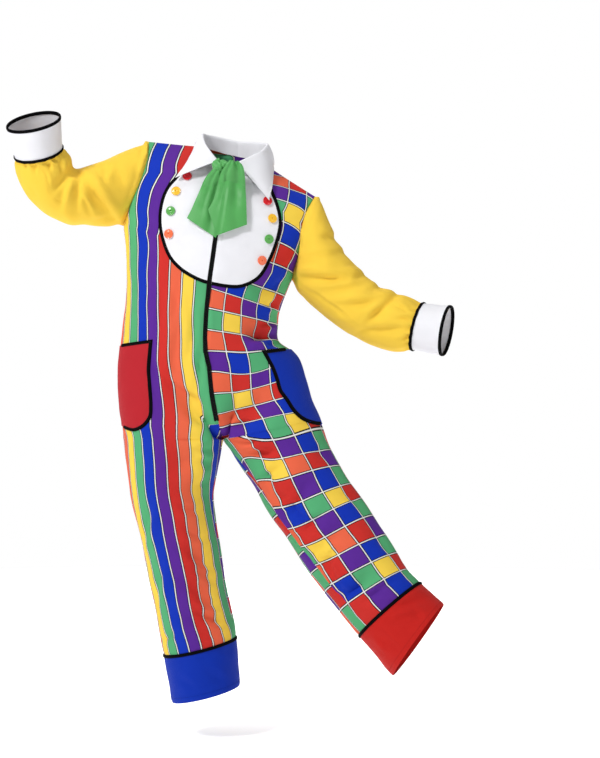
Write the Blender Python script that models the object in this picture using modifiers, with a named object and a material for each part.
"""A clown's jumpsuit, worn and walking: a hollow cloth form held up at the shoulders by its wearer.

One leg stands, the other is kicked out to the side, one forearm is raised and the other arm hangs
out. Metres, +Z up; the wearer faces -Y and the wearer's left is +X. The origin is the centre of the
neck opening, where the wearer's shoulders carry the suit. The tables below are in millimetres.

Each cloth piece is a wall lofted through sections. The sections share their points and normals
along every seam, so the walls meet in mitres with one even gap. What is sewn on top of a panel
(bib, pockets, bindings, zip) is made from that panel's own points, moved out along the normals.
"""
import math

import bmesh
import bpy
import numpy as np
from mathutils import Matrix, Vector
from mathutils.bvhtree import BVHTree

MM = 0.001

# ---------------------------------------------------------------- driving sizes (metres)
WALL = 1.8 * MM             # cloth wall, seam turnings included
SEAM_GAP = 0.32 * MM        # between two pieces that are sewn edge to edge
SHARPEST_MITRE = 0.45       # least cosine between a mitre and the pieces that share it
LAYER_GAP = 0.35 * MM       # under a piece that is sewn flat on another
PATCH = 1.4 * MM            # bib and pocket cloth
BINDING_WIDTH = 7.0 * MM
BINDING = 1.6 * MM          # thickness of folded binding
ZIP_HALF_WIDTH = 5.0 * MM
ZIP_THICK = 2.0 * MM
BUTTON_DIAMETER = 23.0 * MM
BUTTON_THICK = 4.2 * MM
BUTTON_LIFT = 0.4 * MM      # shank height over the highest cloth under a button

# ---------------------------------------------------------------- mesh counts
PANEL_COLUMNS = 8           # from centre line to side seam
NECK_ROWS = 4               # from neck pit (or nape) round to the neck side
CHEST_ROWS = 6              # from the underarm level up to the neck pit
TORSO_ROWS = 12
CROTCH_ROWS = 4
LEG_ROWS = 12
SLEEVE_ROWS = 14
CUFF_ROWS = 3
BAND_ROWS = 3
ARM_ROWS = NECK_ROWS + CHEST_ROWS

RIGHT, LEFT = "right", "left"
SIDES = (RIGHT, LEFT)

# ---------------------------------------------------------------- section tables (millimetres)
# Centre front and centre back lines share x and z; sides are the side-seam points of one section.
TORSO_COLUMNS = ("centre_x", "centre_z", "front_y", "back_y", "right_x", "right_z", "left_x", "left_z")
TORSO = (
    (-44, -234, -130, 118, -280, -150, 140, -285),      # underarm
    (-54, -300, -136, 122, -273, -225, 111, -354),
    (-62, -362, -135, 122, -272, -296, 105, -398),
    (-66, -413, -131, 122, -280, -372, 106, -438),      # waist
    (-67, -467, -132, 127, -290, -447, 140, -464),
    (-61, -513, -135, 133, -293, -510, 158, -487),      # hip
    (-52, -566, -137, 137, -291, -566, 170, -522),
    (-43, -613, -128, 132, -288, -613, 182, -557),
    (-38, -640, -115, 120, -285, -643, 191, -590),      # zip end
    (-33, -682, -95, 100, -282, -676, 208, -630),       # crotch level
)
HIP_SECTION = 4             # from here down the sections grow into two legs
# Leg sections run from the inseam edge to the outer edge; depth is the half depth front to back,
# twist turns the seams forward on the inside, seam_forward brings both seams to the front.
# inner_round is 1 for an ellipse, less where the inner thigh is fuller, up to the fork.
LEG_COLUMNS = ("in_x", "in_y", "in_z", "out_x", "out_y", "out_z", "depth", "twist", "seam_forward",
               "inner_round")
LEG = {
    RIGHT: (
        (-33, 5, -682, -282, 0, -676, 124, 0, 0, 0.5),
        (-40, 5, -732, -275, 0, -735, 116, 0, 5, 0.75),
        (-55, 8, -812, -265, 5, -822, 104, 0, 8, 1),
        (-50, 10, -885, -248, 8, -895, 98, 0, 8, 1),
        (-38, 12, -955, -232, 10, -965, 94, 0, 8, 1),
        (-25, 14, -1040, -212, 12, -1060, 91, 0, 8, 1),
        (-12, 16, -1110, -198, 14, -1140, 89, 0, 8, 1),
        (0, 18, -1178, -182, 16, -1222, 88, 0, 8, 1),      # band seam
        (10, 20, -1300, -162, 18, -1342, 86, 0, 8, 1),     # hem
    ),
    LEFT: (
        (-33, 5, -682, 208, 0, -630, 124, 0, 0, 0.5),
        (3, -2, -735, 228, -5, -685, 116, 12, 3, 0.75),
        (43, -12, -797, 251, -15, -732, 106, 22, 4, 1),
        (90, -28, -876, 284, -30, -789, 100, 27, 4, 1),
        (145, -44, -953, 328, -45, -850, 97, 31, 4, 1),
        (192, -62, -1022, 377, -65, -924, 96, 35, 4, 1),
        (248, -82, -1094, 418, -85, -991, 97, 39, 4, 1),
        (304, -98, -1161, 453, -100, -1029, 98, 43, 4, 1),     # band seam
        (386, -118, -1256, 511, -120, -1080, 102, 47, 4, 1),   # hem
    ),
}
# Front edge of each armhole from the underarm to the shoulder tip; the back edge mirrors its depth.
POINT_COLUMNS = ("x", "y", "z")
ARMHOLE = {
    RIGHT: ((-280, 0, -150), (-264, -38, -111), (-247, -58, -75), (-231, -64, -38), (-217, -46, 14),
            (-218, 0, 62)),
    LEFT: ((140, 0, -285), (145, -26, -262), (154, -48, -232), (159, -60, -198), (163, -62, -162),
           (176, -46, -117), (198, 0, -75)),
}
CHEST_FRONT = ((-44, -130, -234), (-37, -126, -185), (-23, -106, -97), (-14, -82, -36))
CHEST_BACK = ((-44, 118, -234), (-34, 116, -150), (-14, 100, -40), (2, 74, 32))
NECKLINE_FRONT = {
    RIGHT: ((-14, -82, -36), (-46, -70, -18), (-70, -40, 14), (-80, 0, 48)),
    LEFT: ((-14, -82, -36), (22, -73, -36), (60, -46, -24), (76, 0, 2)),
}
NECKLINE_BACK = {
    RIGHT: ((2, 74, 32), (-34, 68, 40), (-68, 40, 48), (-80, 0, 48)),
    LEFT: ((2, 74, 32), (36, 66, 24), (66, 38, 10), (76, 0, 2)),
}
# Gathers where a sleeve is drawn into the armhole and the cuff: sleeve row and half height.
SLEEVE_GATHERS = ((1, 2.5), (2, 1.5), (-2, 3.0), (-3, 2.0))
# Sleeve sections run from the upper (or inner elbow) edge to the lower (outer elbow) edge.
SLEEVE_TURN = 1.5           # sections over which a sleeve ring takes its direction
SLEEVE_COLUMNS = ("top_x", "top_y", "top_z", "low_x", "low_y", "low_z", "depth")
SLEEVE = {
    RIGHT: (
        (-235, 0, 52, -295, 0, -148, 74),
        (-280, -5, 36, -329, -5, -152, 82),
        (-321, -15, 14, -376, -15, -146, 84),
        (-357, -25, 0, -427, -25, -142, 80),
        (-383, -38, -9, -467, -38, -126, 76),
        (-396, -50, -11, -500, -50, -95, 72),
        (-401, -62, -4, -526, -62, -59, 68),
        (-402, -74, 11, -541, -74, -21, 64),
        (-411, -84, 24, -541, -84, 0, 61),
        (-421, -92, 31, -538, -92, 9, 57),
    ),
    LEFT: (
        (212, 0, -92, 152, 0, -310, 78),
        (227, -5, -128, 175, -5, -335, 84),
        (242, -10, -171, 210, -10, -368, 86),
        (267, -15, -214, 247, -15, -398, 82),
        (297, -22, -249, 284, -22, -421, 78),
        (331, -30, -282, 326, -30, -443, 74),
        (371, -38, -309, 363, -38, -458, 70),
        (412, -46, -322, 398, -46, -467, 66),
        (452, -54, -340, 424, -54, -465, 61),
        (463, -58, -345, 434, -58, -461, 57),
    ),
}
CUFF_RIM = {
    RIGHT: (-421, -130, 106, -554, -130, 82, 62),
    LEFT: (533, -80, -352, 511, -80, -476, 61),
}

# Collar leaves at even steps from centre front round to centre back: the top of the stand, and the
# outer edge of the fall. An edge with no depth given (0) lies on the chest, lifted by edge_lift.
COLLAR_COLUMNS = ("fold_x", "fold_y", "fold_z", "edge_x", "edge_y", "edge_z", "edge_lift")
COLLAR = {
    RIGHT: (
        (-42, -92, 3, -137, 0, -34, 10),        # point
        (-60, -76, 28, -120, 0, -6, 10),
        (-74, -42, 52, -108, 0, 22, 8),
        (-81, -2, 78, -100, -4, 56, 5),
        (-70, 40, 82, -90, 52, 52, 5),
        (-36, 66, 78, -46, 84, 32, 5),
        (3, 75, 70, 3, 90, 16, 5),
    ),
    LEFT: (
        (8, -89, -3, 81, 0, -94, 10),           # point
        (38, -80, 14, 88, 0, -60, 10),
        (63, -58, 30, 91, 0, -26, 8),
        (76, -4, 44, 93, -6, 2, 5),
        (68, 44, 56, 90, 62, 6, 5),
        (40, 66, 64, 54, 88, 12, 5),
        (3, 75, 70, 3, 90, 16, 5),
    ),
}
COLLAR_CLOTH = 1.6 * MM
COLLAR_ROLL = 3.5 * MM      # half the room between the stand and the fall at the fold
FOLD_RUN = 4.0 * MM         # from the fold down to where stand and fall are straight
COLLAR_BELLY = 4.0 * MM     # how far the fall bows out between fold and edge
NECK_AXIS_X = -2.0 * MM
STRAP_WIDTH = 12.0 * MM
STRAP_THICK = 1.4 * MM
STRAP_HEIGHT = 0.55         # of the collar stand

# The tie: a knot at the neck and two pleated tails, each row a section from one edge to the other.
KNOT_CENTRE = (-18, -120, 0)
KNOT_SIZE = (56, 24, 27)
KNOT_ROLL = -10.0           # degrees
KNOT_SPAN = {RIGHT: (-19, -1), LEFT: (1, 19)}   # where each tail leaves the knot's lower face
TAIL_DEPTH = {RIGHT: 3, LEFT: -3.5}             # behind and in front of the knot's middle
TAIL_COLUMNS = ("x0", "z0", "x1", "z1", "lift", "pleat_depth")
TAILS = {
    RIGHT: (
        (-60, -38, -27, -42, 0, 3), (-75, -61, -33, -70, 0, 4),
        (-87, -86, -36, -98, 16, 4), (-98, -110, -38, -128, 13, 4), (-113, -143, -40, -158, 12, 5),
        (-86, -166, -42, -186, 11, 4),
    ),
    LEFT: (
        (-30, -44, 19, -38, 0, 3), (-41, -72, 28, -62, 0, 4),
        (-49, -98, 30, -88, 30, 4), (-51, -124, 31, -114, 26, 5), (-44, -154, 32, -138, 24, 5),
        (-38, -185, 32, -159, 22, 4),
    ),
}
TAIL_ROWS = 8
TAIL_ACROSS = 8
TAIL_PLEATS = 2.5           # waves across a tail
TIE_CLOTH = 1.2 * MM

# ---------------------------------------------------------------- small hard parts
BUTTONS = {
    "button_red_right": (-117, -36),
    "button_yellow_right": (-143, -74),
    "button_green_right": (-155, -123),
    "button_coral_right": (-159, -179),
    "button_red_left": (79, -97),
    "button_yellow_left": (91, -140),
    "button_green_left": (83, -191),
    "button_coral_left": (66, -243),
}
BUTTON_FACETS = 14
SLIDER = (10.0 * MM, 14.0 * MM, 2.6 * MM)       # width, length, height
SLIDER_DROP = 16.0 * MM                         # below the neck pit, along the zip
BRIDGE = (2.6 * MM, 8.0 * MM, 3.9 * MM)
BRIDGE_EYE = (5.0 * MM, 2.6 * MM)               # length and height of the opening under the bridge
PULL = (9.0 * MM, 25.0 * MM, 1.4 * MM)
PULL_BAR = 1.6 * MM                             # the bar that turns under the bridge
PULL_EYE = (4.4 * MM, 5.6 * MM)
PULL_SHIFT = 0.5 * MM                           # the bar's place below the bridge's middle


def table(rows):
    return np.array(rows, float) * MM


def spline(points, at):
    """Catmull-Rom curve through rows of numbers; at runs from 0 to len(points) - 1."""
    rows = np.asarray(points, float)
    last = len(rows) - 1
    padded = np.vstack([2 * rows[0] - rows[1], rows, 2 * rows[-1] - rows[-2]])
    result = []
    for value in np.atleast_1d(at):
        i = min(int(value), last - 1)
        t = value - i
        p0, p1, p2, p3 = padded[i:i + 4]
        result.append(0.5 * (2 * p1 + (p2 - p0) * t + (2 * p0 - 5 * p1 + 4 * p2 - p3) * t ** 2
                             + (3 * p1 - p0 - 3 * p2 + p3) * t ** 3))
    return np.array(result)


def even(points, count):
    """count + 1 points at even steps of length along the smooth curve through the points."""
    fine = spline(points, np.linspace(0, len(points) - 1, 40 * (len(points) - 1) + 1))
    steps = np.linalg.norm(np.diff(fine, axis=0), axis=1)
    length = np.concatenate([[0], np.cumsum(steps)])
    marks = np.linspace(0, length[-1], count + 1)
    return np.stack([np.interp(marks, length, fine[:, k]) for k in range(fine.shape[1])], axis=1)


# ---------------------------------------------------------------- body sections
def quarter_section(centre, side, reach):
    """Points from the centre line to the side on part of an ellipse; reach is its last angle."""
    angles = np.linspace(0, reach, PANEL_COLUMNS + 1)
    across = np.sin(angles) / math.sin(reach)
    depth = (np.cos(angles) - math.cos(reach)) / (1 - math.cos(reach))
    points = centre + np.outer(across, side - centre)
    points[:, 1] = side[1] + (centre[1] - side[1]) * depth
    return points


def leg_section(inner, outer, depth, axis, start, end, inner_round):
    """Points on an ellipse about the leg from angle start to end; 0 is the inner edge. A smaller
    inner_round squares the inner half, so that the thighs stay full up to the fork."""
    middle = (inner + outer) / 2
    half_width = (outer - inner) / 2
    back = np.array([0.0, 1.0, 0.0]) - axis[1] * axis
    back *= depth / np.linalg.norm(back)
    angles = np.linspace(start, end, PANEL_COLUMNS + 1)
    across, along = np.cos(angles), np.sin(angles)
    power = np.where(across > 0, inner_round, 1.0)
    across = np.sign(across) * np.abs(across) ** power
    along = np.sign(along) * np.abs(along) ** power
    return middle - np.outer(across, half_width) - np.outer(along, back)


def upper_rows(side, front):
    """Rows from the shoulder seam down to the underarm level."""
    chest = CHEST_FRONT if front else CHEST_BACK
    neckline = (NECKLINE_FRONT if front else NECKLINE_BACK)[side]
    centre = np.vstack([even(table(chest), CHEST_ROWS), even(table(neckline), NECK_ROWS)[1:]])
    edge = even(table(ARMHOLE[side]), ARM_ROWS)
    if not front:
        edge[:, 1] *= -1
    reach = np.radians(np.linspace(90, 60, ARM_ROWS + 1))
    rows = [quarter_section(centre[k], edge[k], reach[k]) for k in range(ARM_ROWS + 1)]
    return rows[::-1]


def torso_line(side, front, at):
    row = spline(table(TORSO), at)
    named = {name: row[:, k] for k, name in enumerate(TORSO_COLUMNS)}
    centre = np.stack([named["centre_x"], named["front_y" if front else "back_y"], named["centre_z"]], 1)
    edge = np.stack([named[side + "_x"], np.zeros(len(row)), named[side + "_z"]], 1)
    return centre, edge


def direction(rows, at, reach=0.5):
    """Unit direction of the line through the sections' middles, read over reach sections each way."""
    rows = np.array(rows, float)
    middles = (rows[:, 0:3] + rows[:, 3:6]) / 2
    before = spline(middles, np.maximum(at - reach, 0))
    ahead = spline(middles, np.minimum(at + reach, len(rows) - 1)) - before
    return ahead / np.linalg.norm(ahead, axis=1, keepdims=True)


def leg_line(side, at):
    row = spline(np.array(LEG[side], float), at)
    named = {name: row[:, k] for k, name in enumerate(LEG_COLUMNS)}
    inner = np.stack([named["in_x"], named["in_y"], named["in_z"]], 1) * MM
    outer = np.stack([named["out_x"], named["out_y"], named["out_z"]], 1) * MM
    axis = direction(LEG[side], at)
    turns = np.radians(named["twist"]), np.radians(named["seam_forward"])
    return inner, outer, named["depth"] * MM, axis, *turns, named["inner_round"]


def leg_rows(side, front, at):
    """Half leg sections: the front panel's half runs over the front, the back one's behind."""
    inner, outer, depth, axis, twist, forward, inner_round = leg_line(side, at)
    rows = []
    for k in range(len(inner)):
        start = forward[k] + twist[k]
        end = math.pi - forward[k] + twist[k]
        if not front:
            end -= 2 * math.pi
        rows.append(leg_section(inner[k], outer[k], depth[k], axis[k], start, end, inner_round[k]))
    return rows


def ease(value):
    value = np.clip(value, 0, 1)
    return value * value * (3 - 2 * value)


def trunk_rows(side, front, at, edge_blend):
    """Torso sections at the given stations. Below the hip each half grows into a closed leg: the
    middle of the panel early and slowly, its centre edge only round the fork, by edge_blend."""
    centre, edge = torso_line(side, front, at)
    inner, _, depth, _, _, _, inner_round = leg_line(side, np.zeros(1))
    down = np.array([0.0, 0.0, -1.0])
    half_turn = math.pi if front else -math.pi
    crotch = len(TORSO) - 1
    early = ease((at - HIP_SECTION) / (crotch - HIP_SECTION))
    near_centre = 1 - ease(np.linspace(0, 1, PANEL_COLUMNS + 1) / 0.3)
    rows = []
    for k in range(len(at)):
        fork = np.array([centre[k][0], inner[0][1], centre[k][2]])
        leg = leg_section(fork, edge[k], depth[0], down, 0, half_turn, inner_round[0])
        blend = (early[k] * (1 - near_centre) + edge_blend[k] * near_centre)[:, None]
        rows.append((1 - blend) * quarter_section(centre[k], edge[k], math.pi / 2) + blend * leg)
    return rows


def body_panel(side, front):
    """One long panel, shoulder seam to band seam: rows down, columns from centre line to side."""
    zip_end = len(TORSO) - 2
    turn = np.linspace(0, math.pi / 2, CROTCH_ROWS + 1)[1:]
    down_to_fork = np.linspace(0, zip_end, TORSO_ROWS + 1)[1:]
    at = np.concatenate([down_to_fork, zip_end + np.sin(turn)])
    edge_blend = np.concatenate([np.zeros(TORSO_ROWS), 1 - np.cos(turn)])
    rows = upper_rows(side, front) + trunk_rows(side, front, at, edge_blend)
    rows += leg_rows(side, front, np.linspace(0, len(LEG[side]) - 2, LEG_ROWS + 1)[1:])
    return np.array(rows)


def leg_band(side):
    """The band's closed sections: the front half's points, then the back half's."""
    at = np.linspace(len(LEG[side]) - 2, len(LEG[side]) - 1, BAND_ROWS + 1)
    front = leg_rows(side, True, at)
    back = leg_rows(side, False, at)
    return np.array([np.vstack([f, b[::-1][1:-1]]) for f, b in zip(front, back)])


# ---------------------------------------------------------------- sleeves
def sleeve_sections(side):
    """Closed sections from the armhole to the cuff seam; column 0 is the underarm seam."""
    front = even(table(ARMHOLE[side]), ARM_ROWS)
    back = front * (1, -1, 1)
    armhole = np.vstack([front, back[::-1][1:-1]])
    rows = np.array(SLEEVE[side], float) * MM
    at = np.linspace(0, len(rows) - 1, SLEEVE_ROWS)
    cuff = np.array(CUFF_RIM[side], float) * MM
    tube = closed_sections(np.vstack([rows, cuff]), at)
    return np.concatenate([armhole[None], tube])


def closed_sections(rows, at):
    row = spline(rows, at)
    top, low, depth = row[:, 0:3], row[:, 3:6], row[:, 6]
    middle = (top + low) / 2
    axis = direction(rows, at, SLEEVE_TURN)
    angles = np.linspace(0, 2 * math.pi, 2 * ARM_ROWS + 1)[:-1]
    sections = []
    for k in range(len(row)):
        half = (low[k] - top[k]) / 2
        back = np.array([0.0, 1.0, 0.0]) - axis[k][1] * axis[k]
        back *= depth[k] / np.linalg.norm(back)
        sections.append(middle[k] + np.outer(np.cos(angles), half) - np.outer(np.sin(angles), back))
    return np.array(sections)


def cuff_sections(side):
    rows = np.vstack([np.array(SLEEVE[side], float), np.array(CUFF_RIM[side], float)]) * MM
    start = len(rows) - 2
    return closed_sections(rows, np.linspace(start, start + 1, CUFF_ROWS + 1))


# ---------------------------------------------------------------- folds
# The largest folds, as lines seen from the front: ends, half width and depth (minus sinks, plus
# stands out). A back fold lies on the rear of the same piece, mirrored through it.
FOLD_COLUMNS = ("x0", "z0", "x1", "z1", "half_width", "depth")
FOLDS = {
    "sleeve_right": (
        (-398, -20, -440, -110, 16, -9), (-385, -15, -372, -130, 18, -9), (-400, -45, -330, -125, 18, 7),
        (-378, -25, -300, -120, 20, -8), (-420, -60, -500, -80, 18, -6), (-300, 10, -330, -90, 22, -6),
    ),
    "sleeve_left": (
        (150, -262, 250, -268, 18, -10), (160, -300, 262, -312, 18, -9), (205, -350, 300, -300, 20, -8),
        (318, -405, 395, -330, 18, -9), (255, -230, 275, -370, 22, 6), (345, -300, 330, -420, 18, -5),
    ),
    "body": (
        (96, -432, 20, -420, 16, -9), (-272, -385, -180, -400, 20, -7), (118, -300, 40, -330, 22, -5),
        (-262, -180, -190, -260, 22, -6), (-60, -640, -160, -560, 24, -6), (-20, -640, 90, -580, 24, -6),
        (-60, -720, -180, -760, 26, -7), (-60, -820, -190, -790, 24, -6), (10, -730, 140, -700, 26, -7),
        (80, -850, 210, -770, 24, -6), (170, -980, 290, -870, 26, -6), (-30, -1010, -150, -930, 26, -6),
        (-20, -1080, -160, -1020, 24, -7), (-10, -1140, -150, -1120, 22, -6),
        (240, -1080, 350, -980, 24, -6),
    ),
}


def fold_shift(points, normals, folds):
    """How far each point moves along its normal: soft troughs and ridges that fade at their ends."""
    shift = np.zeros(points.shape[:-1])
    flat = points[..., [0, 2]]
    for fold in folds:
        x0, z0, x1, z1, half_width, depth = np.array(fold, float) * MM
        start = np.array([x0, z0])
        along = np.array([x1 - x0, z1 - z0])
        length = np.linalg.norm(along)
        along /= length
        offset = flat - start
        run = offset @ along
        across = offset @ np.array([-along[1], along[0]])
        end = np.clip(1 - np.abs(run / length - 0.5) * 2 * 0.85, 0, 1)
        fade = end * end * (3 - 2 * end)
        shift += depth * fade * np.exp(-(across / half_width) ** 2)
    facing = np.clip(np.abs(normals[..., 1]) * 1.6, 0, 1)
    return shift * facing


# ---------------------------------------------------------------- shared normals and walls
def own_normals(points, closed, sign):
    ring = np.concatenate([points, points[:, :1]], axis=1) if closed else points
    a, b, c, d = ring[:-1, :-1], ring[1:, :-1], ring[1:, 1:], ring[:-1, 1:]
    face = np.cross(c - a, d - b) * sign
    total = np.zeros_like(ring)
    for rows, columns in ((slice(None, -1), slice(None, -1)), (slice(1, None), slice(None, -1)),
                          (slice(1, None), slice(1, None)), (slice(None, -1), slice(1, None))):
        total[rows, columns] += face
    if closed:
        total[:, 0] += total[:, -1]
        total = total[:, :-1]
    return total


def shared_normals(sheets):
    """Offset directions of every sheet. Points that meet at a seam get one common direction, the
    mitre between the pieces, lengthened so that each wall keeps its thickness up to the seam."""
    pieces = {}
    for name, (points, closed, sign) in sheets.items():
        piece = pieces.setdefault("body" if name.startswith(("front", "back")) else name, {})
        raw = own_normals(points, closed, sign).reshape(-1, 3)
        for key, value in zip(keys_of(points), raw):
            piece[key] = piece.get(key, 0) + value
    meeting = {}
    for piece in pieces.values():
        for key, value in piece.items():
            meeting.setdefault(key, []).append(value / np.linalg.norm(value))
    mitres = {}
    for key, directions in meeting.items():
        mitre = np.sum(directions, axis=0)
        mitre /= np.linalg.norm(mitre)
        flattest = min(mitre @ single for single in directions)
        mitres[key] = mitre / max(flattest, SHARPEST_MITRE)
    return {name: np.array([mitres[key] for key in keys_of(points)]).reshape(points.shape)
            for name, (points, _, _) in sheets.items()}


def keys_of(points):
    return [tuple(key) for key in np.round(points.reshape(-1, 3) / (0.02 * MM)).astype(int)]


def inset(points, closed):
    """The sheet with its free edges drawn in by half a seam gap."""
    result = points.copy()
    edges = [(0, 1), (-1, -2)]
    for edge, inner in edges:
        result[edge] += toward(points[edge], points[inner])
    if not closed:
        for edge, inner in edges:
            result[:, edge] += toward(points[:, edge], points[:, inner])
    return result


def toward(edge, inner):
    step = inner - edge
    return step / np.linalg.norm(step, axis=-1, keepdims=True) * (SEAM_GAP / 2)


def wall_mesh(name, outer, inner, closed, sign):
    """A closed wall between two grids of the same shape; each cell is split along one diagonal."""
    rows, columns = outer.shape[:2]
    count = rows * columns
    points = np.concatenate([outer.reshape(-1, 3), inner.reshape(-1, 3)])
    around = columns if closed else columns - 1

    def at(i, j):
        return i * columns + j % columns

    faces = []
    for i in range(rows - 1):
        for j in range(around):
            a, b, c, d = at(i, j), at(i + 1, j), at(i + 1, j + 1), at(i, j + 1)
            faces += [(a, b, c), (a, c, d)]
            faces += [(a + count, c + count, b + count), (a + count, d + count, c + count)]
    for i, flip in ((0, 1), (rows - 1, -1)):
        for j in range(around):
            faces += rim(at(i, j), at(i, j + 1), count, flip)
    if not closed:
        for j, flip in ((0, -1), (columns - 1, 1)):
            for i in range(rows - 1):
                faces += rim(at(i, j), at(i + 1, j), count, flip)
    if sign < 0:
        faces = [face[::-1] for face in faces]
    mesh = bpy.data.meshes.new(name)
    mesh.from_pydata([tuple(p) for p in points], [], faces)
    mesh.update()
    return mesh


def rim(a, b, count, flip):
    faces = [(a, b + count, a + count), (a, b, b + count)]
    return [face[::-1] for face in faces] if flip < 0 else faces


# ---------------------------------------------------------------- objects and materials
def start_scene():
    for item in list(bpy.data.objects):
        bpy.data.objects.remove(item, do_unlink=True)
    suit = bpy.data.collections.new("clown_jumpsuit")
    cutters = bpy.data.collections.new("cutters")
    bpy.context.scene.collection.children.link(suit)
    bpy.context.scene.collection.children.link(cutters)
    return suit, cutters


COLOURS = {
    "stripe_cotton": (0.80, 0.14, 0.10),
    "check_cotton": (0.10, 0.12, 0.55),
    "white_cotton": (0.86, 0.86, 0.90),
    "yellow_cotton": (0.92, 0.55, 0.04),
    "red_cotton": (0.62, 0.02, 0.02),
    "blue_cotton": (0.01, 0.04, 0.42),
    "green_satin": (0.12, 0.42, 0.12),
    "black_binding": (0.006, 0.006, 0.008),
    "zip_black": (0.01, 0.01, 0.01),
    "black_enamel": (0.01, 0.01, 0.012),
    "button_red": (0.70, 0.01, 0.02),
    "button_yellow": (0.95, 0.50, 0.03),
    "button_green": (0.10, 0.40, 0.07),
    "button_coral": (0.95, 0.16, 0.06),
}
CLOTH_ROUGHNESS = 0.8
BUTTON_ROUGHNESS = 0.3
ROUGHNESS = {"green_satin": 0.45, "zip_black": 0.5, "black_enamel": 0.3}


def material(name):
    found = bpy.data.materials.get(name)
    if found:
        return found
    made = bpy.data.materials.new(name)
    made.use_nodes = True
    shader = made.node_tree.nodes["Principled BSDF"]
    shader.inputs["Base Color"].default_value = (*COLOURS[name], 1)
    usual = BUTTON_ROUGHNESS if name.startswith("button") else CLOTH_ROUGHNESS
    shader.inputs["Roughness"].default_value = ROUGHNESS.get(name, usual)
    shader.inputs["Metallic"].default_value = 1.0 if name == "black_enamel" else 0.0
    return made


class Suit:
    """Everything made so far: the sheets, their normals and the collections."""

    def __init__(self):
        self.collection, self.cutters = start_scene()
        self.sheets = {}
        self.normals = {}

    def add(self, name, mesh, colour):
        item = bpy.data.objects.new(name, mesh)
        item.data.materials.append(material(colour))
        self.collection.objects.link(item)
        return item

    def add_wall(self, name, colour, thick=WALL):
        points, closed, sign = self.sheets[name]
        drawn = inset(points, closed)
        mesh = wall_mesh(name, drawn, drawn - self.normals[name] * thick, closed, sign)
        return self.add(name, mesh, colour)

    def add_layer(self, name, sheet, colour, rows, columns, lift, thick):
        """A sheet's points, moved out: the start of a piece that lies on that panel."""
        points, closed, sign = self.sheets[sheet]
        drawn = inset(points, closed)[rows, columns]
        normal = self.normals[sheet][rows, columns]
        mesh = wall_mesh(name, drawn + normal * (lift + thick), drawn + normal * lift, False, sign)
        return self.add(name, mesh, colour)

    def prism(self, name, outline, near=-0.5, far=0.5):
        """An upright outline in x and z, drawn out front to back, to cut a layer with."""
        form = bmesh.new()
        ring = [form.verts.new((x, near, z)) for x, z in outline]
        face = form.faces.new(ring)
        pushed = bmesh.ops.extrude_face_region(form, geom=[face])
        moved = [v for v in pushed["geom"] if isinstance(v, bmesh.types.BMVert)]
        bmesh.ops.translate(form, verts=moved, vec=(0, far - near, 0))
        bmesh.ops.recalc_face_normals(form, faces=form.faces)
        mesh = bpy.data.meshes.new(name)
        form.to_mesh(mesh)
        form.free()
        cutter = bpy.data.objects.new(name, mesh)
        cutter.hide_render = True
        cutter.display_type = "WIRE"
        self.cutters.objects.link(cutter)
        return cutter


def cut(item, operation, cutter):
    boolean = item.modifiers.new(operation.title(), "BOOLEAN")
    boolean.operation = operation
    boolean.solver = "EXACT"
    boolean.object = cutter


# ---------------------------------------------------------------- outlines that lie on panels
def shrink(outline, distance):
    """A closed outline moved inward by a distance along its own normals."""
    points = np.array(outline, float)
    ahead = np.roll(points, -1, axis=0) - points
    ahead /= np.linalg.norm(ahead, axis=1, keepdims=True)
    behind = np.roll(ahead, 1, axis=0)
    middle = ahead + behind
    middle /= np.linalg.norm(middle, axis=1, keepdims=True)
    area = np.sum(points[:, 0] * np.roll(points[:, 1], -1) - points[:, 1] * np.roll(points[:, 0], -1))
    inward = np.stack([-middle[:, 1], middle[:, 0]], 1) * np.sign(area)
    mitre = np.clip(np.sum(middle * ahead, axis=1), 0.6, 1)
    return points + inward * (distance / mitre)[:, None]


# One U-shaped bib edge, from the right shoulder side down round the bottom to the left side.
BIB_EDGE = ((-128, 20), (-146, -34), (-168, -64), (-181, -98), (-186, -141), (-180, -185), (-164, -230),
            (-141, -260), (-110, -283), (-69, -301), (-5, -312), (33, -305), (66, -281), (90, -239),
            (107, -193), (115, -148), (107, -104), (91, -63), (80, -20))
BIB_SHOULDER = ((70, 60), (-20, 110), (-110, 110))
POCKET_RIGHT_EDGE = ((-330, -452), (-292, -447), (-200, -436), (-203, -470), (-206, -510), (-202, -560),
                     (-200, -600), (-203, -627), (-221, -650), (-250, -661), (-290, -650), (-330, -640))
POCKET_LEFT_EDGE = ((240, -452), (148, -454), (66, -463), (78, -485), (90, -508), (100, -535), (108, -562),
                    (124, -585), (145, -616), (172, -637), (215, -648), (260, -640))


def outline_curve(points):
    """The outline with its long steps rounded through the given points."""
    rows = np.array(points, float) * MM
    return spline(rows, np.linspace(0, len(rows) - 1, 2 * len(rows) - 1))


def zip_outline(suit, half_width):
    """A narrow strip along the centre front, from above the neckline to below the zip end."""
    points = suit.sheets["front_left"][0][NECK_ROWS:ARM_ROWS + TORSO_ROWS + 1, 0][:, [0, 2]]
    above = points[:1] + (points[:1] - points[1:2]) * 3
    line = np.vstack([above, points])
    side = np.array([half_width, 0.0])
    return np.vstack([line + side, line[::-1] - side])


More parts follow.
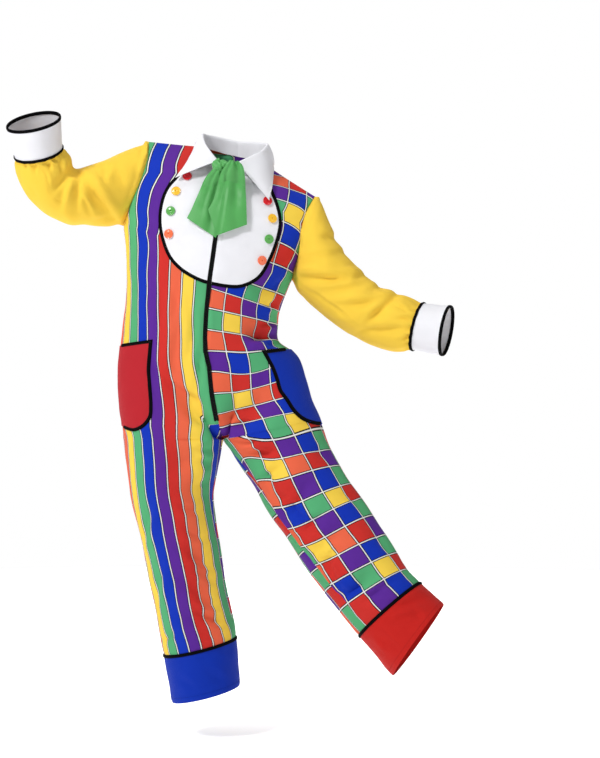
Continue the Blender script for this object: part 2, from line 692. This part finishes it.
def make_bib(suit):
    edge = outline_curve(BIB_EDGE)
    whole = np.vstack([edge, np.array(BIB_SHOULDER, float) * MM])
    outside = suit.prism("cut_bib_outside", whole)
    inside = suit.prism("cut_bib_inside", shrink(whole, BINDING_WIDTH))
    cloth = suit.prism("cut_bib_cloth", shrink(whole, BINDING_WIDTH + SEAM_GAP))
    zip_strip = suit.prism("cut_bib_zip", zip_outline(suit, ZIP_HALF_WIDTH + SEAM_GAP))
    rows = slice(0, ARM_ROWS + 4)
    columns = slice(0, PANEL_COLUMNS - 1)
    for side in SIDES:
        panel = "front_" + side
        bib = suit.add_layer("bib_" + side, panel, "white_cotton", rows, columns, LAYER_GAP, PATCH)
        cut(bib, "INTERSECT", cloth)
        cut(bib, "DIFFERENCE", zip_strip)
        name = "bib_binding_" + side
        binding = suit.add_layer(name, panel, "black_binding", rows, columns, LAYER_GAP, BINDING)
        cut(binding, "INTERSECT", outside)
        cut(binding, "DIFFERENCE", inside)
        cut(binding, "DIFFERENCE", zip_strip)


def make_pocket(suit, side, points, colour):
    panel = "front_" + side
    outline = np.array(points, float) * MM
    outside = suit.prism("cut_pocket_outside_" + side, outline)
    inside = suit.prism("cut_pocket_inside_" + side, shrink(outline, BINDING_WIDTH))
    cloth = suit.prism("cut_pocket_cloth_" + side, shrink(outline, BINDING_WIDTH + SEAM_GAP))
    rows = slice(ARM_ROWS + 3, ARM_ROWS + TORSO_ROWS + 3)
    columns = slice(1, PANEL_COLUMNS + 1)
    pocket = suit.add_layer("pocket_" + side, panel, colour, rows, columns, LAYER_GAP, PATCH)
    cut(pocket, "INTERSECT", cloth)
    name = "pocket_binding_" + side
    binding = suit.add_layer(name, panel, "black_binding", rows, columns, LAYER_GAP, BINDING)
    cut(binding, "INTERSECT", outside)
    cut(binding, "DIFFERENCE", inside)


# ---------------------------------------------------------------- zip
def make_zip(suit):
    """The zip lies on both front panels: three points a row, on the first cell of each panel."""
    rows = slice(NECK_ROWS, ARM_ROWS + TORSO_ROWS + 1)
    columns = []
    for side in SIDES:
        points = suit.sheets["front_" + side][0][rows]
        normal = suit.normals["front_" + side][rows]
        step = np.linalg.norm(points[:, 1] - points[:, 0], axis=1, keepdims=True)
        share = ZIP_HALF_WIDTH / step
        columns.append(((1 - share) * points[:, 0] + share * points[:, 1],
                        (1 - share) * normal[:, 0] + share * normal[:, 1]))
    (right, right_normal), (left, left_normal) = columns
    points = suit.sheets["front_left"][0][rows]
    normal = suit.normals["front_left"][rows]
    grid = np.stack([right, points[:, 0], left], axis=1)
    normals = np.stack([right_normal, normal[:, 0], left_normal], axis=1)
    drawn = grid.copy()
    drawn[0] += toward(grid[0], grid[1]) * 4
    lift = LAYER_GAP * 2
    mesh = wall_mesh("zip", drawn + normals * (lift + ZIP_THICK), drawn + normals * lift, False, 1)
    suit.add("zip", mesh, "zip_black")
    return grid[:, 1], normals[:, 1]


def block(form, size, centre):
    made = bmesh.ops.create_cube(form, size=1)
    bmesh.ops.scale(form, verts=made["verts"], vec=size)
    bmesh.ops.translate(form, verts=made["verts"], vec=centre)
    return made["verts"]


def mesh_of_block(name, size, centre):
    form = bmesh.new()
    block(form, size, centre)
    mesh = bpy.data.meshes.new(name)
    form.to_mesh(mesh)
    form.free()
    return mesh


def local_cutter(suit, name, size, centre, frame):
    cutter = bpy.data.objects.new(name, mesh_of_block(name, size, centre))
    cutter.hide_render = True
    cutter.display_type = "WIRE"
    cutter.matrix_world = frame
    suit.cutters.objects.link(cutter)
    return cutter


def make_slider(suit, line, normals):
    """Slider and pull, in a frame with X across the zip, -Y down along it and Z out of the cloth."""
    down = line[1] - line[0]
    down /= np.linalg.norm(down)
    normal = normals[0] - (normals[0] @ down) * down
    normal /= np.linalg.norm(normal)
    across = np.cross(normal, down)
    base = LAYER_GAP * 3 + ZIP_THICK + 0.3 * MM
    origin = line[0] + down * SLIDER_DROP + normal * base
    frame = frame_matrix(-across, -down, normal, origin)
    width, length, height = SLIDER
    body = mesh_of_block("zip_slider", (width, length, height), (0, 0, height / 2))
    slider = suit.add("zip_slider", body, "black_enamel")
    slider.matrix_world = frame
    bridge = local_cutter(suit, "add_bridge", (BRIDGE[0], BRIDGE[1], BRIDGE[2] + 0.5 * MM),
                          (0, 0, height + (BRIDGE[2] - 0.5 * MM) / 2), frame)
    eye = local_cutter(suit, "cut_bridge_eye", (BRIDGE[0] * 3, BRIDGE_EYE[0], BRIDGE_EYE[1]),
                       (0, 0, height + BRIDGE_EYE[1] / 2), frame)
    cut(slider, "UNION", bridge)
    cut(slider, "DIFFERENCE", eye)
    # the pull turns about the middle of its bar
    axis_point = np.array(frame @ Vector((0, -PULL_SHIFT, height + BRIDGE_EYE[1] / 2)))
    pull_frame = frame_matrix(-across, -down, normal, axis_point)
    pull_middle = (0, PULL_BAR / 2 - PULL[1] / 2, 0)
    pull = suit.add("zip_pull", mesh_of_block("zip_pull", PULL, pull_middle), "black_enamel")
    pull.matrix_world = pull_frame
    hole = local_cutter(suit, "cut_pull_eye", (PULL_EYE[0], PULL_EYE[1], PULL[2] * 3),
                        (0, -PULL_BAR / 2 - PULL_EYE[1] / 2, 0), pull_frame)
    cut(pull, "DIFFERENCE", hole)


def frame_matrix(x, y, z, origin):
    matrix = Matrix.Identity(4)
    for k, axis in enumerate((x, y, z, origin)):
        for row in range(3):
            matrix[row][k] = axis[row]
    return matrix


# ---------------------------------------------------------------- ring bindings
def make_binding(suit, name, sheet, row, inner_row, share_back, share_on):
    """A band folded over a closed edge's outside: from a share of one cell to a share of the next."""
    points, _, sign = suit.sheets[sheet]
    normal = suit.normals[sheet]
    edge, inner = points[row], points[inner_row]
    step = (inner - edge) / np.linalg.norm(inner - edge, axis=1, keepdims=True)
    rows = [edge + step * share_back, edge + step * share_on]
    grid = np.array(rows)
    direction_sign = sign if inner_row > row >= 0 else -sign
    normals = np.array([normal[row], normal[row]])
    near = grid + normals * LAYER_GAP
    mesh = wall_mesh(name, near + normals * BINDING, near, True, direction_sign)
    suit.add(name, mesh, "black_binding")


# ---------------------------------------------------------------- collar and tie
def collar_sheet(suit_sheets, side):
    """Rows from centre front round to centre back, columns up the stand and down the fall."""
    front = suit_sheets["front_" + side][0][NECK_ROWS::-1, 0]
    back = suit_sheets["back_" + side][0][:NECK_ROWS + 1, 0]
    neckline = np.vstack([front, back[1:]])
    rows = spline(np.array(COLLAR[side], float), np.linspace(0, len(COLLAR[side]) - 1, len(neckline)))
    fold, edge = rows[:, 0:3] * MM, rows[:, 3:6] * MM
    return neckline, fold, edge, rows[:, 6] * MM


def away_from_neck(fold):
    """Level unit directions from the neck's axis to the collar's fold."""
    outward = fold * (1, 1, 0) - np.array([NECK_AXIS_X, 0, 0])
    return outward / np.linalg.norm(outward, axis=1, keepdims=True)


def collar_points(neckline, fold, edge):
    outward = away_from_neck(fold)
    rise = fold - neckline
    rise /= np.linalg.norm(rise, axis=1, keepdims=True)
    under = fold - rise * FOLD_RUN
    over = fold + outward * COLLAR_ROLL
    start = fold + outward * 2 * COLLAR_ROLL - rise * FOLD_RUN
    columns = [neckline, (neckline + under) / 2, under, over, start]
    for share in (0.33, 0.67, 1.0):
        belly = math.sin(math.pi * share) * COLLAR_BELLY
        columns.append(start * (1 - share) + edge * share + outward * belly)
    return np.stack(columns, axis=1)


def front_tree(suit):
    """The outer face of both front panels, for pieces that rest on the chest."""
    points = []
    faces = []
    for side in SIDES:
        grid = suit.sheets["front_" + side][0]
        rows, columns = grid.shape[:2]
        start = len(points)
        points += [Vector(p) for p in grid.reshape(-1, 3)]
        for i in range(rows - 1):
            for j in range(columns - 1):
                a = start + i * columns + j
                quad = (a, a + columns, a + columns + 1, a + 1)
                faces.append(quad if side == LEFT else quad[::-1])
    return BVHTree.FromPolygons(points, faces)


def on_chest(tree, x, z, lift):
    """The point straight in front of the chest at x, z that stands lift off the cloth."""
    hit, normal, _, _ = tree.ray_cast(Vector((x, -1.0, z)), Vector((0, 1, 0)))
    if hit is None:
        hit, normal, _, _ = tree.find_nearest(Vector((x, -0.1, z)))
    if normal.y > 0:
        normal = -normal
    return np.array(hit + normal * lift), np.array(normal)


def make_collar(suit, tree):
    parts = {}
    for side, sign in ((RIGHT, -1), (LEFT, 1)):
        neckline, fold, edge, lift = collar_sheet(suit.sheets, side)
        for k in range(len(edge)):
            if k <= NECK_ROWS - 1:
                edge[k] = on_chest(tree, edge[k][0], edge[k][2], lift[k])[0]
        parts[side] = (neckline, fold)
        suit.sheets["collar_" + side] = (collar_points(neckline, fold, edge), False, sign)
    return parts


def make_strap(suit, parts):
    """The tie's strap, round the collar stand under the fall, to the back of the knot."""
    line = []
    rise = []
    for side, order in ((RIGHT, 1), (LEFT, -1)):
        neckline, fold = parts[side]
        outward = away_from_neck(fold)
        points = neckline + (fold - neckline) * STRAP_HEIGHT
        points += outward * (COLLAR_CLOTH + LAYER_GAP + STRAP_THICK / 2)
        up = (fold - neckline) / np.linalg.norm(fold - neckline, axis=1, keepdims=True)
        line.append(points[::order])
        rise.append(up[::order])
    points = np.vstack([line[0], line[1][1:]])
    up = np.vstack([rise[0], rise[1][1:]])
    knot = np.array(KNOT_CENTRE, float) * MM
    behind = knot[1] + KNOT_SIZE[1] / 2 * MM + LAYER_GAP + STRAP_THICK / 2
    ends = [np.array([knot[0] - 14 * MM, behind, knot[2] - 2 * MM]),
            np.array([knot[0] + 14 * MM, behind, knot[2] - 4 * MM])]
    points = np.vstack([ends[:1], points, ends[1:]])
    up = np.vstack([[0, 0, 1], up, [0, 0, 1]])
    grid = np.stack([points - up * STRAP_WIDTH / 2, points + up * STRAP_WIDTH / 2], axis=1)
    normals = own_normals(grid, False, 1)
    normals /= np.linalg.norm(normals, axis=2, keepdims=True)
    half = normals * STRAP_THICK / 2
    mesh = wall_mesh("tie_strap", grid + half, grid - half, False, 1)
    suit.add("tie_strap", mesh, "black_binding")


def make_knot(suit):
    form = bmesh.new()
    block(form, [value * MM for value in KNOT_SIZE], (0, 0, 0))
    bmesh.ops.bevel(form, geom=form.edges[:], offset=7 * MM, segments=3, affect="EDGES", profile=0.5)
    mesh = bpy.data.meshes.new("tie_knot")
    form.to_mesh(mesh)
    form.free()
    knot = suit.add("tie_knot", mesh, "green_satin")
    knot.location = np.array(KNOT_CENTRE, float) * MM
    knot.rotation_euler[1] = -math.radians(KNOT_ROLL)


def under_knot(along):
    """Place (x, z) just under the knot's lower face, along it from its middle, in millimetres."""
    turn = -math.radians(KNOT_ROLL)
    down = -(KNOT_SIZE[2] / 2 + LAYER_GAP / MM)
    x = KNOT_CENTRE[0] + along * math.cos(turn) + down * math.sin(turn)
    return x, KNOT_CENTRE[2] - along * math.sin(turn) + down * math.cos(turn)


def make_tail(suit, tree, side):
    """Rows down the tail; depth follows the chest where lift is given, else hangs from the knot."""
    first, last = (under_knot(along) for along in KNOT_SPAN[side])
    table_rows = ((*first, *last, 0, 1),) + TAILS[side]
    rows = spline(np.array(table_rows, float), np.linspace(0, len(table_rows) - 1, TAIL_ROWS))
    knot_y = (KNOT_CENTRE[1] + TAIL_DEPTH[side]) * MM
    across = np.linspace(0, 1, TAIL_ACROSS + 1)
    grid = []
    for k, (x0, z0, x1, z1, _, pleat) in enumerate(rows):
        share = k / (TAIL_ROWS - 1)
        lift = np.interp(share * (len(table_rows) - 1), [3, 4, 5, 6], [row[4] for row in table_rows[3:]]) * MM
        row = []
        for t in across:
            x, z = (x0 + (x1 - x0) * t) * MM, (z0 + (z1 - z0) * t) * MM
            hanging = knot_y - 2 * MM * share
            resting = on_chest(tree, x, z, lift)[0][1]
            settle = ease((share - 0.25) / 0.5)
            y = hanging * (1 - settle) + min(resting, knot_y + 20 * MM) * settle
            y += pleat * MM * math.sin(2 * math.pi * TAIL_PLEATS * t + 0.6)
            row.append((x, y, z))
        grid.append(row)
    grid = np.array(grid)
    normals = own_normals(grid, False, 1)
    normals /= np.linalg.norm(normals, axis=2, keepdims=True)
    half = normals * TIE_CLOTH / 2
    name = "tie_tail_" + side
    mesh = wall_mesh(name, grid + half, grid - half, False, 1)
    suit.add(name, mesh, "green_satin")


# ---------------------------------------------------------------- buttons
def make_button(suit, tree, name, place):
    """A turned button: flat back, rounded rim and low dome."""
    radius = BUTTON_DIAMETER / 2
    profile = ((0, BUTTON_THICK), (radius * 0.86, BUTTON_THICK * 0.92), (radius, BUTTON_THICK * 0.6),
               (radius, BUTTON_THICK * 0.25), (radius * 0.93, 0), (0, 0))
    form = bmesh.new()
    points = [form.verts.new((r, 0, h)) for r, h in profile]
    for a, b in zip(points, points[1:]):
        form.edges.new((a, b))
    mesh = bpy.data.meshes.new(name)
    form.to_mesh(mesh)
    form.free()
    button = suit.add(name, mesh, "_".join(name.split("_")[:2]))
    screw = button.modifiers.new("Turn", "SCREW")
    screw.steps = screw.render_steps = BUTTON_FACETS
    screw.use_merge_vertices = True
    screw.merge_threshold = 0.01 * MM
    point, normal = on_chest(tree, place[0] * MM, place[1] * MM, 0)
    turn = Vector(normal).to_track_quat("Z", "Y")
    lift = LAYER_GAP + PATCH + BUTTON_LIFT + highest_near(tree, point, normal, turn, radius)
    button.rotation_euler = turn.to_euler()
    button.location = point + normal * lift


def highest_near(tree, point, normal, turn, radius):
    """How far the chest rises above the flat through the point, within a button's radius."""
    highest = 0.0
    for k in range(8):
        angle = k * math.pi / 4
        above = Vector(point) + turn @ Vector((math.cos(angle) * radius, math.sin(angle) * radius, radius))
        hit = tree.ray_cast(above, -Vector(normal))[0]
        if hit is not None:
            highest = max(highest, (np.array(hit) - point) @ normal)
    return highest


# ---------------------------------------------------------------- assembling
def body_sheets():
    sheets = {}
    for side, sign in ((RIGHT, -1), (LEFT, 1)):
        sheets["front_" + side] = (body_panel(side, True), False, sign)
        sheets["back_" + side] = (body_panel(side, False), False, -sign)
        sheets["leg_band_" + side] = (leg_band(side), True, sign)
        sheets["sleeve_" + side] = (sleeve_sections(side), True, sign)
        sheets["cuff_" + side] = (cuff_sections(side), True, sign)
    return sheets


def fold_all(sheets):
    """Move every sheet by its folds. Seam points share normals, so seams stay together."""
    normals = shared_normals(sheets)
    folded = {}
    for name, (points, closed, sign) in sheets.items():
        if name.startswith("cuff") or name.startswith("leg_band"):
            folded[name] = (points, closed, sign)
            continue
        group = name if name.startswith("sleeve") else "body"
        shift = fold_shift(points, normals[name], FOLDS[group])
        if group != "body":
            in_and_out = (-1.0) ** np.arange(points.shape[1])
            for row, height in SLEEVE_GATHERS:
                shift[row] += in_and_out * height * MM
        shift[0] = shift[-1] = 0
        if group == "body":
            shift[:ARM_ROWS + 1, -1] = 0
        folded[name] = (points + normals[name] * shift[..., None], closed, sign)
    return folded


def build():
    suit = Suit()
    suit.sheets = fold_all(body_sheets())
    tree = front_tree(suit)
    collar = make_collar(suit, tree)
    suit.normals = shared_normals(suit.sheets)
    for side in SIDES:
        suit.add_wall("front_" + side, "stripe_cotton" if side == RIGHT else "check_cotton")
        suit.add_wall("back_" + side, "check_cotton")
        suit.add_wall("sleeve_" + side, "yellow_cotton")
        suit.add_wall("cuff_" + side, "white_cotton")
        suit.add_wall("leg_band_" + side, "blue_cotton" if side == RIGHT else "red_cotton")
        suit.add_wall("collar_" + side, "white_cotton", COLLAR_CLOTH)
        make_binding(suit, "cuff_seam_" + side, "cuff_" + side, 0, 1, 0.3 * MM, BINDING_WIDTH)
        make_binding(suit, "cuff_rim_" + side, "cuff_" + side, -1, -2, 0.3 * MM, BINDING_WIDTH)
        make_binding(suit, "leg_binding_" + side, "leg_band_" + side, 0, 1, 0.3 * MM, BINDING_WIDTH)
    make_bib(suit)
    make_pocket(suit, RIGHT, POCKET_RIGHT_EDGE, "red_cotton")
    make_pocket(suit, LEFT, POCKET_LEFT_EDGE, "blue_cotton")
    line, normals = make_zip(suit)
    make_slider(suit, line, normals)
    make_strap(suit, collar)
    make_knot(suit)
    for side in SIDES:
        make_tail(suit, tree, side)
    for name, place in BUTTONS.items():
        make_button(suit, tree, name, place)


build()
